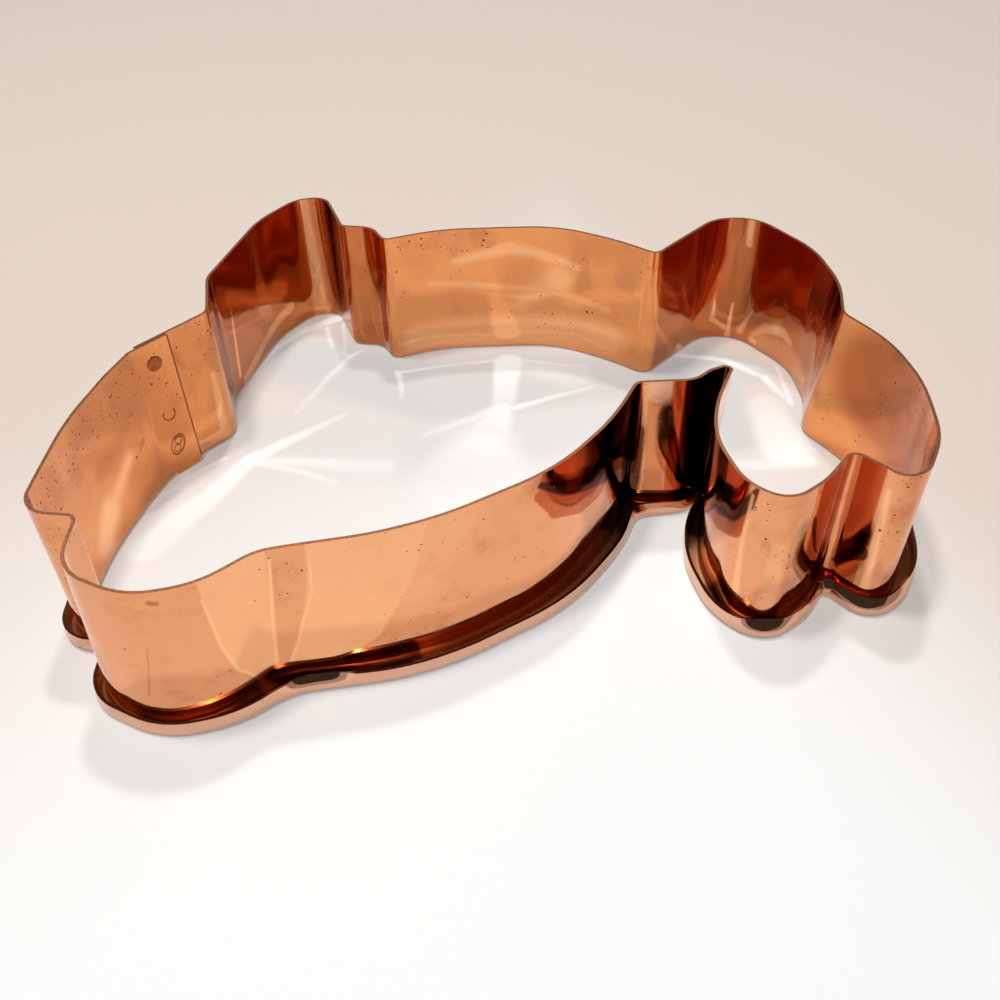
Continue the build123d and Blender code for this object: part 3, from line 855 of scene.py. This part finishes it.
def weld_rings(mesh, centre, radius, height, turn, start, stretch=1.0):
    """Spin the section of a weld's raised ring about the weld's axis, and close both of its ends."""
    first = Vector((cos(start), sin(start), 0)) * radius
    verts = [mesh.verts.new(centre + first * out + UP * (height * rise)) for out, rise in RING_SECTION]
    edges = [mesh.edges.new(pair) for pair in zip(verts, verts[1:] + verts[:1])]
    full = abs(turn - 2 * pi) < 0.01
    known = set(mesh.verts) - set(verts)
    made = bmesh.ops.spin(
        mesh, geom=verts + edges, cent=centre, axis=UP, angle=turn, steps=WELD_STEPS, use_merge=full
    )
    if not full:
        mesh.faces.new(verts)
        last = [item for item in made["geom_last"] if isinstance(item, bmesh.types.BMVert)]
        bmesh.ops.contextual_create(mesh, geom=last)
    ring = [vert for vert in mesh.verts if vert not in known]
    lean = Matrix.Rotation(radians(-25), 4, "Z")
    about = Matrix.Translation(centre) @ lean @ Matrix.Diagonal((1, stretch, 1, 1)) @ lean.inverted()
    bmesh.ops.transform(mesh, matrix=about @ Matrix.Translation(-centre), verts=ring)


def weld_disc(mesh, centre, radius, height):
    """Spin a low domed disc with a dished middle."""
    verts = [mesh.verts.new(centre + Vector((radius * out, 0, height * rise))) for out, rise in DISC_SECTION]
    edges = [mesh.edges.new(pair) for pair in zip(verts, verts[1:])]
    known = set(mesh.verts) - set(verts)
    bmesh.ops.spin(
        mesh, geom=verts + edges, cent=centre, axis=UP, angle=2 * pi, steps=WELD_STEPS, use_merge=True
    )
    disc = [vert for vert in mesh.verts if vert not in known]
    bmesh.ops.remove_doubles(mesh, verts=disc, dist=0.001 * MM)


def add_outer_mark(mesh, centre, radius):
    """Shallow mark of the electrode on the outer face of the lap."""
    sizes = bpy.context.scene.cutter_strip
    depth = sizes.sheet_thickness * 2 + sizes.lap_gap
    weld_disc(mesh, centre - UP * depth, radius * 0.9, -0.04 * MM)


class CUTTER_OT_spot_welds(Operator):
    """Build the three spot welds on the inner face of the lap"""

    bl_idname = "cutter.spot_welds"
    bl_label = "Spot welds"

    def execute(self, context):
        welds = context.scene.spot_welds
        material = weld_material()
        for name, height in (
            ("weld_upper", welds.upper_height),
            ("weld_middle", welds.middle_height),
            ("weld_lower", welds.lower_height),
        ):
            mesh = bmesh.new()
            if name == "weld_upper":
                weld_disc(mesh, Vector(), welds.upper_radius, welds.ring_height)
                add_outer_mark(mesh, Vector(), welds.upper_radius)
            elif name == "weld_middle":
                weld_rings(mesh, Vector(), welds.ring_radius, welds.ring_height, radians(250), radians(140))
                add_outer_mark(mesh, Vector(), welds.ring_radius)
            else:
                weld_rings(mesh, Vector(), welds.ring_radius * 1.15, welds.ring_height, 2 * pi, 0, 1.45)
                for lean, rise in ((-0.35 * MM, -0.8 * MM), (0.35 * MM, 0.9 * MM)):
                    centre = Vector((lean, rise, 0))
                    weld_rings(mesh, centre, welds.ring_radius * 0.6, welds.ring_height * 1.2, 2 * pi, 0)
                    add_outer_mark(mesh, centre, welds.ring_radius)
            bmesh.ops.recalc_face_normals(mesh, faces=mesh.faces)
            bmesh.ops.transform(mesh, matrix=weld_frame(height), verts=mesh.verts)
            piece = finished_object(name + "_ring", mesh, "root", "weld_copper", name)
            piece.data.materials.append(material)
        return {"FINISHED"}


def new_group(name, inputs, outputs):
    """Start a shader node group with its named sockets, and return its tree with both end nodes."""
    tree = bpy.data.node_groups.new(name, "ShaderNodeTree")
    for socket, kind, value in inputs:
        made = tree.interface.new_socket(socket, in_out="INPUT", socket_type=kind)
        if value is not None:
            made.default_value = value
    for socket, kind in outputs:
        tree.interface.new_socket(socket, in_out="OUTPUT", socket_type=kind)
    return tree, tree.nodes.new("NodeGroupInput"), tree.nodes.new("NodeGroupOutput")


def math_node(tree, operation, first, second, clamp=False):
    """Add a Math node fed by sockets or numbers, and return its output."""
    node = tree.nodes.new("ShaderNodeMath")
    node.operation = operation
    node.use_clamp = clamp
    for socket, value in zip(node.inputs, (first, second)):
        if isinstance(value, (int, float)):
            socket.default_value = value
        else:
            tree.links.new(value, socket)
    return node.outputs[0]


def plus(tree, first, second, clamp=False):
    """Sum of two values."""
    return math_node(tree, "ADD", first, second, clamp)


def minus(tree, first, second):
    """Difference of two values."""
    return math_node(tree, "SUBTRACT", first, second)


def times(tree, first, second):
    """Product of two values."""
    return math_node(tree, "MULTIPLY", first, second)


def larger(tree, first, second):
    """Larger of two values."""
    return math_node(tree, "MAXIMUM", first, second)


def split(tree, vector):
    """The X, Y and Z sockets of a vector."""
    node = tree.nodes.new("ShaderNodeSeparateXYZ")
    tree.links.new(vector, node.inputs[0])
    return node.outputs


def add_bump(tree, shader, height, strength, distance):
    """Bump the shader's surface by a height."""
    bump = tree.nodes.new("ShaderNodeBump")
    bump.inputs["Strength"].default_value = strength
    bump.inputs["Distance"].default_value = distance
    tree.links.new(height, bump.inputs["Height"])
    tree.links.new(bump.outputs["Normal"], shader.inputs["Normal"])


def vector_node(tree, operation, first, second):
    """Add a Vector Math node fed by sockets or vectors, and return its output."""
    node = tree.nodes.new("ShaderNodeVectorMath")
    node.operation = operation
    for socket, value in zip(node.inputs, (first, second)):
        if isinstance(value, bpy.types.NodeSocket):
            tree.links.new(value, socket)
        else:
            socket.default_value = value
    return node.outputs["Value" if operation in ("DOT_PRODUCT", "DISTANCE") else "Vector"]


def stretched(tree, vector, scale):
    """Scale a coordinate by a different number on each axis."""
    return vector_node(tree, "MULTIPLY", vector, scale)


def noise_outputs(tree, vector, scale, detail=2.0, roughness=0.5):
    """Add a Noise Texture and return its value and colour."""
    node = tree.nodes.new("ShaderNodeTexNoise")
    node.inputs["Scale"].default_value = scale
    node.inputs["Detail"].default_value = detail
    node.inputs["Roughness"].default_value = roughness
    tree.links.new(vector, node.inputs["Vector"])
    return node.outputs


def noise_value(tree, vector, scale, detail, roughness=0.5):
    """Add a Noise Texture and return its value."""
    return noise_outputs(tree, vector, scale, detail, roughness)[0]


def noise_push(tree, vector, scale):
    """Noise in three directions, centred on zero."""
    return vector_node(tree, "SUBTRACT", noise_outputs(tree, vector, scale)["Color"], (0.5, 0.5, 0.5))


def moved(tree, vector, push, reach):
    """Coordinate moved sideways by a push of the given reach."""
    return vector_node(tree, "ADD", vector, stretched(tree, push, (reach, reach, 0)))


def ramp(tree, value, low, high):
    """Map a value between two limits to 0 to 1, eased."""
    node = tree.nodes.new("ShaderNodeMapRange")
    node.interpolation_type = "SMOOTHSTEP"
    for name, number in (("From Min", low), ("From Max", high), ("To Min", 0.0), ("To Max", 1.0)):
        node.inputs[name].default_value = number
    tree.links.new(value, node.inputs["Value"])
    return node.outputs["Result"]


def mix_colour(tree, mask, first, second):
    """Mix two colours, given as sockets or values."""
    node = tree.nodes.new("ShaderNodeMix")
    node.data_type = "RGBA"
    tree.links.new(mask, node.inputs["Factor"])
    for socket, value in ((node.inputs[6], first), (node.inputs[7], second)):
        if isinstance(value, bpy.types.NodeSocket):
            tree.links.new(value, socket)
        else:
            socket.default_value = (*value, 1)
    return node.outputs[2]


def tarnish_group():
    """Dark specks in clusters: where they gather is a slow pattern, each speck a quick one."""
    name = "tarnish_specks"
    if name in bpy.data.node_groups:
        return bpy.data.node_groups[name]
    tree, given, result = new_group(
        name,
        (("Vector", "NodeSocketVector", None), ("Gather", "NodeSocketFloat", 0.0)),
        (("Specks", "NodeSocketFloat"), ("Film", "NodeSocketFloat")),
    )
    vector = given.outputs["Vector"]
    slow = noise_value(tree, vector, 70, 2.0)
    gathered = plus(tree, slow, given.outputs["Gather"])
    clusters = ramp(tree, gathered, 0.50, 0.88)
    ragged = noise_value(tree, vector, 5200, 2.0)
    specks = None
    for cells, size in ((700, 0.24), (1700, 0.34)):
        grid = tree.nodes.new("ShaderNodeTexVoronoi")
        grid.inputs["Scale"].default_value = cells
        tree.links.new(vector, grid.inputs["Vector"])
        chance = split(tree, grid.outputs["Color"])
        limit = minus(tree, 0.988, times(tree, clusters, 0.70))
        over = minus(tree, chance["X"], limit)
        radius = times(tree, math_node(tree, "POWER", chance["Y"], 2.0), size)
        radius = times(tree, radius, times(tree, ragged, 2.0))
        within = ramp(tree, minus(tree, radius, grid.outputs["Distance"]), -0.02, 0.05)
        speck = times(tree, within, ramp(tree, over, 0.0, 0.02))
        specks = speck if specks is None else larger(tree, specks, speck)
    tree.links.new(specks, result.inputs["Specks"])
    film = noise_value(tree, vector, 150, 4.0, 0.6)
    film = plus(tree, film, times(tree, clusters, 0.15))
    tree.links.new(ramp(tree, film, 0.50, 0.85), result.inputs["Film"])
    return tree


def scratch_group():
    """Hair-fine scratches along the sheet, short and broken, as a height."""
    name = "hair_scratches"
    if name in bpy.data.node_groups:
        return bpy.data.node_groups[name]
    inputs = (("Vector", "NodeSocketVector", None),)
    tree, given, result = new_group(name, inputs, (("Height", "NodeSocketFloat"),))
    vector = given.outputs["Vector"]
    rolled = noise_value(tree, stretched(tree, vector, (60, 5200, 1)), 1.0, 3.0)
    cross = noise_value(tree, stretched(tree, vector, (2600, 160, 1)), 1.0, 2.0)
    lines = ramp(tree, rolled, 0.60, 0.68)
    broken = ramp(tree, noise_value(tree, vector, 260, 2.0), 0.50, 0.62)
    height = times(tree, lines, broken)
    height = plus(tree, height, times(tree, ramp(tree, cross, 0.68, 0.74), 0.6))
    tree.links.new(height, result.inputs["Height"])
    return tree


def add_group(tree, group, vector):
    """Place a node group and feed it its coordinate."""
    node = tree.nodes.new("ShaderNodeGroup")
    node.node_tree = group
    tree.links.new(vector, node.inputs["Vector"])
    return node


def new_metal(name):
    """Start a material with a bare metal shader, and return it with its tree and shader."""
    material = bpy.data.materials.new(name)
    material.use_nodes = True
    shader = material.node_tree.nodes["Principled BSDF"]
    shader.inputs["Metallic"].default_value = 1.0
    return material, material.node_tree, shader


def copper_material(name, base, zones, strip_end):
    """Polished sheet copper with soft smears, hair scratches, zones of painted shade, reflection and
    highlight, and gathered specks.
    """
    finish = bpy.context.scene.copper_finish
    material, tree, shader = new_metal(name)
    material.diffuse_color = (*base, 1)
    place = tree.nodes.new("ShaderNodeTexCoord").outputs["UV"]
    crease = tree.nodes.new("ShaderNodeAttribute")
    crease.attribute_name = "crease"
    depth = split(tree, place)
    near_top = minus(tree, 1.0, ramp(tree, depth["Y"], 0.5 * MM, 13 * MM))
    gather = times(tree, near_top, 0.05)
    gather = plus(tree, gather, times(tree, crease.outputs["Fac"], 0.05))
    clusters = add_patches(tree, place, zones["specks"])
    gather = plus(tree, gather, times(tree, clusters, 0.42))
    tarnish = add_group(tree, tarnish_group(), place)
    tree.links.new(gather, tarnish.inputs["Gather"])
    worn = mix_colour(tree, tarnish.outputs["Film"], base, finish.worn_copper)
    # The zones of brown painted shade have uneven borders, and the other painted zones follow theirs
    push = noise_push(tree, place, 130)
    pushed = moved(tree, place, push, 2 * MM)
    nudged = moved(tree, place, push, 0.8 * MM)
    for zone, colour, border in (
        ("brown_tint_and_shade", finish.brown_tint_and_shade, pushed),
        ("painted_red_reflection", finish.painted_red_reflection, nudged),
        ("painted_pale_sheen", finish.painted_pale_sheen, place),
        ("painted_dark_reflection", finish.painted_dark_reflection, nudged),
        ("painted_highlight", finish.painted_highlight, place),
    ):
        worn = mix_colour(tree, add_patches(tree, border, zones[zone]), worn, colour)
    # A dark line, in the specks' colour, along the last half millimetre of the strip's inner end
    end_line = ramp(tree, depth["X"], strip_end - 0.50 * MM, strip_end - 0.25 * MM)
    dark = larger(tree, tarnish.outputs["Specks"], times(tree, end_line, 0.85))
    tree.links.new(mix_colour(tree, dark, worn, finish.tarnish), shader.inputs["Base Color"])
    smears = ramp(tree, noise_value(tree, place, 90, 3.0), 0.35, 0.75)
    gloss = plus(tree, 0.05, times(tree, smears, 0.06))
    gloss = plus(tree, gloss, times(tree, tarnish.outputs["Film"], 0.10))
    gloss = plus(tree, gloss, times(tree, add_patches(tree, place, zones["dull"]), 0.26))
    gloss = plus(tree, gloss, times(tree, tarnish.outputs["Specks"], 0.35), clamp=True)
    tree.links.new(gloss, shader.inputs["Roughness"])
    scratches = add_group(tree, scratch_group(), place)
    height = minus(tree, 0.0, scratches.outputs["Height"])
    height = minus(tree, height, times(tree, tarnish.outputs["Specks"], 0.8))
    add_bump(tree, shader, height, 0.1, 0.02 * MM)
    return material


def edge_material():
    """Sheared edge of the sheet: darker, duller and drawn along its length, with the lip's rim painted
    lighter as a highlight.
    """
    finish = bpy.context.scene.copper_finish
    material, tree, shader = new_metal("cut_edge_copper")
    material.diffuse_color = (*finish.edge, 1)
    place = tree.nodes.new("ShaderNodeTexCoord").outputs["Object"]
    blotch = ramp(tree, noise_value(tree, place, 420, 4.0, 0.6), 0.45, 0.75)
    axes = split(tree, place)
    # Below the wall's top, the lip's rim keeps the polished copper colour, lighter than the top edge: a
    # painted highlight along the rim
    cut = ramp(tree, axes["Z"], 3.6 * MM, 4.6 * MM)
    dull = mix_colour(tree, blotch, finish.edge, finish.worn_copper)
    tree.links.new(mix_colour(tree, cut, finish.copper, dull), shader.inputs["Base Color"])
    grain = noise_value(tree, place, 2600, 3.0)
    gloss = times(tree, plus(tree, 0.1, times(tree, cut, 0.8)), grain)
    tree.links.new(plus(tree, 0.14, times(tree, gloss, 0.7)), shader.inputs["Roughness"])
    add_bump(tree, shader, grain, 0.3, 0.03 * MM)
    return material


def weld_material():
    """Heat-dulled copper of the spot welds, darker in the rings."""
    finish = bpy.context.scene.copper_finish
    material, tree, shader = new_metal("weld_copper")
    material.diffuse_color = (*finish.worn_copper, 1)
    place = tree.nodes.new("ShaderNodeTexCoord").outputs["Object"]
    tarnish = add_group(tree, tarnish_group(), place)
    tarnish.inputs["Gather"].default_value = 0.30
    blotch = ramp(tree, noise_value(tree, place, 900, 4.0, 0.6), 0.38, 0.62)
    burnt = mix_colour(tree, blotch, finish.scorched, finish.brown_tint_and_shade)
    tree.links.new(
        mix_colour(tree, tarnish.outputs["Specks"], burnt, finish.tarnish), shader.inputs["Base Color"]
    )
    tree.links.new(plus(tree, 0.2, times(tree, blotch, 0.2)), shader.inputs["Roughness"])
    add_bump(tree, shader, blotch, 0.5, 0.03 * MM)
    return material


def glow_group():
    """Soft tapered band from one place to another, with a half width at each end."""
    name = "thrown_light"
    if name in bpy.data.node_groups:
        return bpy.data.node_groups[name]
    tree, given, result = new_group(
        name,
        (
            ("Vector", "NodeSocketVector", None),
            ("From", "NodeSocketVector", None),
            ("To", "NodeSocketVector", None),
            ("Half Width From", "NodeSocketFloat", 0.001),
            ("Half Width To", "NodeSocketFloat", 0.001),
            ("Softness", "NodeSocketFloat", 0.001),
            ("Fade", "NodeSocketFloat", 0.0),
        ),
        (("Mask", "NodeSocketFloat"),),
    )
    along = vector_node(tree, "SUBTRACT", given.outputs["To"], given.outputs["From"])
    out = vector_node(tree, "SUBTRACT", given.outputs["Vector"], given.outputs["From"])
    length = vector_node(tree, "DOT_PRODUCT", along, along)
    share = math_node(tree, "DIVIDE", vector_node(tree, "DOT_PRODUCT", out, along), length)
    share = math_node(tree, "MINIMUM", larger(tree, share, 0.0), 1.0)
    scaled = tree.nodes.new("ShaderNodeVectorMath")
    scaled.operation = "SCALE"
    tree.links.new(along, scaled.inputs[0])
    tree.links.new(share, scaled.inputs["Scale"])
    distance = vector_node(tree, "DISTANCE", out, scaled.outputs[0])
    wider = minus(tree, given.outputs["Half Width To"], given.outputs["Half Width From"])
    width = plus(tree, times(tree, wider, share), given.outputs["Half Width From"])
    inside = math_node(tree, "DIVIDE", minus(tree, width, distance), given.outputs["Softness"])
    kept = minus(tree, 1.0, times(tree, share, given.outputs["Fade"]))
    tree.links.new(times(tree, ramp(tree, inside, -0.5, 0.5), kept), result.inputs["Mask"])
    return tree


def stretches(rows):
    """Every stretch of the bands in the rows, from one place to the next, with its softness and strength."""
    for *places, softness, strength in rows:
        for first in range(0, len(places) - 3, 3):
            yield (*places[first : first + 6], softness, strength)


def add_patches(tree, vector, rows, fade=0.0):
    """Place the soft bands of the rows, in millimetres, and return the strongest of them."""
    total = None
    for from_x, from_y, from_width, to_x, to_y, to_width, softness, strength in stretches(rows):
        node = add_group(tree, glow_group(), vector)
        node.inputs["From"].default_value = (from_x * MM, from_y * MM, 0)
        node.inputs["To"].default_value = (to_x * MM, to_y * MM, 0)
        node.inputs["Half Width From"].default_value = from_width * MM
        node.inputs["Half Width To"].default_value = to_width * MM
        node.inputs["Softness"].default_value = softness * MM
        node.inputs["Fade"].default_value = fade
        mask = times(tree, node.outputs["Mask"], strength)
        total = mask if total is None else larger(tree, total, mask)
    return total


def table_material():
    """Pale table: white in front, warmer behind, in painted shade inside the cutter, with painted bands of
    thrown light.
    """
    stage = bpy.context.scene.cutter_stage
    material = bpy.data.materials.new("pale_table")
    material.use_nodes = True
    tree = material.node_tree
    shader = tree.nodes["Principled BSDF"]
    shader.inputs["Roughness"].default_value = 0.6
    shader.inputs["Specular IOR Level"].default_value = 0.2
    place = tree.nodes.new("ShaderNodeTexCoord").outputs["Object"]
    axes = split(tree, place)
    leftwards = times(tree, axes["X"], -0.95)
    rightwards = times(tree, minus(tree, axes["X"], 0.03), 1.9)
    sideways = larger(tree, leftwards, rightwards)
    behind = ramp(tree, plus(tree, axes["Y"], sideways), -0.05, 0.14)
    colour = mix_colour(tree, behind, stage.table, stage.far_table)
    # Painted shade inside the cutter
    inside = add_patches(tree, place, INNER_TABLE)
    colour = mix_colour(tree, inside, colour, stage.inner_table_shade)
    bent = moved(tree, place, noise_push(tree, place, 45), 3 * MM)
    glows = add_patches(tree, bent, THROWN_LIGHT, 0.55)
    colour = mix_colour(tree, glows, colour, stage.glow)
    lit = stretched(tree, colour, (stage.lit_share, stage.lit_share, stage.lit_share))
    tree.links.new(lit, shader.inputs["Base Color"])
    tree.links.new(stretched(tree, colour, tuple(stage.lift)), shader.inputs["Emission Color"])
    ray = tree.nodes.new("ShaderNodeLightPath").outputs
    seen = larger(tree, ray["Is Camera Ray"], ray["Is Glossy Ray"])
    seen = larger(tree, seen, ray["Is Transmission Ray"])
    tree.links.new(seen, shader.inputs["Emission Strength"])
    return material


def add_area_lamp(name, place, size, power, colour):
    """Add a square lamp that faces the cutter."""
    data = bpy.data.lights.new(name, "AREA")
    data.shape = "SQUARE"
    data.size = size
    data.energy = power
    data.color = colour
    lamp = bpy.data.objects.new(name, data)
    lamp.location = place
    lamp.rotation_euler = (Vector() - Vector(place)).to_track_quat("-Z", "Y").to_euler()
    bpy.context.scene.collection.objects.link(lamp)


class CUTTER_OT_stage(Operator):
    """Set the table, the backdrop, the lamps and the camera"""

    bl_idname = "cutter.stage"
    bl_label = "Stage"

    def execute(self, context):
        stage = context.scene.cutter_stage
        mesh = bmesh.new()
        verts = [mesh.verts.new((out, 0, rise)) for out, rise in TABLE_PROFILE]
        edges = [mesh.edges.new(pair) for pair in zip(verts, verts[1:])]
        bmesh.ops.spin(
            mesh, geom=verts + edges, cent=(0, 0, 0), axis=UP, angle=2 * pi, steps=TABLE_STEPS, use_merge=True
        )
        bmesh.ops.remove_doubles(mesh, verts=mesh.verts, dist=0.01 * MM)
        bmesh.ops.recalc_face_normals(mesh, faces=mesh.faces)
        data = bpy.data.meshes.new("table")
        mesh.to_mesh(data)
        mesh.free()
        table = bpy.data.objects.new("table", data)
        for polygon in data.polygons:
            polygon.use_smooth = True
        context.scene.collection.objects.link(table)
        data.materials.append(table_material())

        for name, place, size, power, colour in (
            ("back_lamp", (0.0, 0.37, 1.03), 0.07, stage.back_power, (1.0, 0.985, 0.96)),
            ("left_lamp", (-0.20, 0.05, 1.08), 0.10, stage.left_power, (1.0, 0.98, 0.95)),
            ("front_lamp", (-0.08, -0.30, 1.05), 0.20, stage.front_power, (1.0, 0.98, 0.95)),
        ):
            add_area_lamp(name, place, size, power, colour)
        world = bpy.data.worlds.new("dim_room")
        world.use_nodes = True
        world.node_tree.nodes["Background"].inputs["Color"].default_value = (*ROOM_COLOUR, 1)
        context.scene.world = world
        context.scene.view_settings.view_transform = "Standard"

        data = bpy.data.cameras.new("camera")
        data.sensor_width = SENSOR_WIDTH
        data.lens = stage.focal_length
        data.clip_start = NEAREST_SEEN
        camera = bpy.data.objects.new("camera", data)
        pitch = stage.camera_pitch
        roll = stage.camera_roll
        forward = Vector((0, cos(pitch), -sin(pitch)))
        level_right = Vector((1, 0, 0))
        level_up = Vector((0, sin(pitch), cos(pitch)))
        right = level_right * cos(roll) + level_up * sin(roll)
        up = level_up * cos(roll) - level_right * sin(roll)
        turn = Matrix((right, up, -forward)).transposed().to_4x4()
        place = Vector((stage.camera_shift, -stage.camera_distance, stage.camera_height))
        camera.matrix_world = Matrix.Translation(place) @ turn
        context.scene.collection.objects.link(camera)
        context.scene.camera = camera
        return {"FINISHED"}


class CUTTER_PT_panel(Panel):
    """Sizes, colours and steps of the cutter"""

    bl_idname = "CUTTER_PT_panel"
    bl_label = "Copper cookie cutter"
    bl_space_type = "VIEW_3D"
    bl_region_type = "UI"
    bl_category = "Cutter"

    def draw(self, context):
        for name in ("cutter_strip", "spot_welds", "copper_finish", "cutter_stage"):
            box = self.layout.box()
            settings = getattr(context.scene, name)
            for key in settings.__annotations__:
                box.prop(settings, key)
        for operator in (CUTTER_OT_strip, CUTTER_OT_spot_welds, CUTTER_OT_stage):
            self.layout.operator(operator.bl_idname)


CLASSES = (
    CutterStripSettings,
    SpotWeldSettings,
    FinishSettings,
    StageSettings,
    CUTTER_OT_strip,
    CUTTER_OT_spot_welds,
    CUTTER_OT_stage,
    CUTTER_PT_panel,
)


def register():
    """Register the classes and hang the settings on the scene."""
    for cls in CLASSES:
        bpy.utils.register_class(cls)
    bpy.types.Scene.cutter_strip = PointerProperty(type=CutterStripSettings)
    bpy.types.Scene.spot_welds = PointerProperty(type=SpotWeldSettings)
    bpy.types.Scene.copper_finish = PointerProperty(type=FinishSettings)
    bpy.types.Scene.cutter_stage = PointerProperty(type=StageSettings)


def unregister():
    """Undo what register did."""
    del bpy.types.Scene.cutter_stage
    del bpy.types.Scene.copper_finish
    del bpy.types.Scene.spot_welds
    del bpy.types.Scene.cutter_strip
    for cls in reversed(CLASSES):
        bpy.utils.unregister_class(cls)


def main():
    """Build the cutter and its stage."""
    register()
    bpy.ops.cutter.strip()
    bpy.ops.cutter.spot_welds()
    bpy.ops.cutter.stage()


if __name__ == "__main__":
    main()
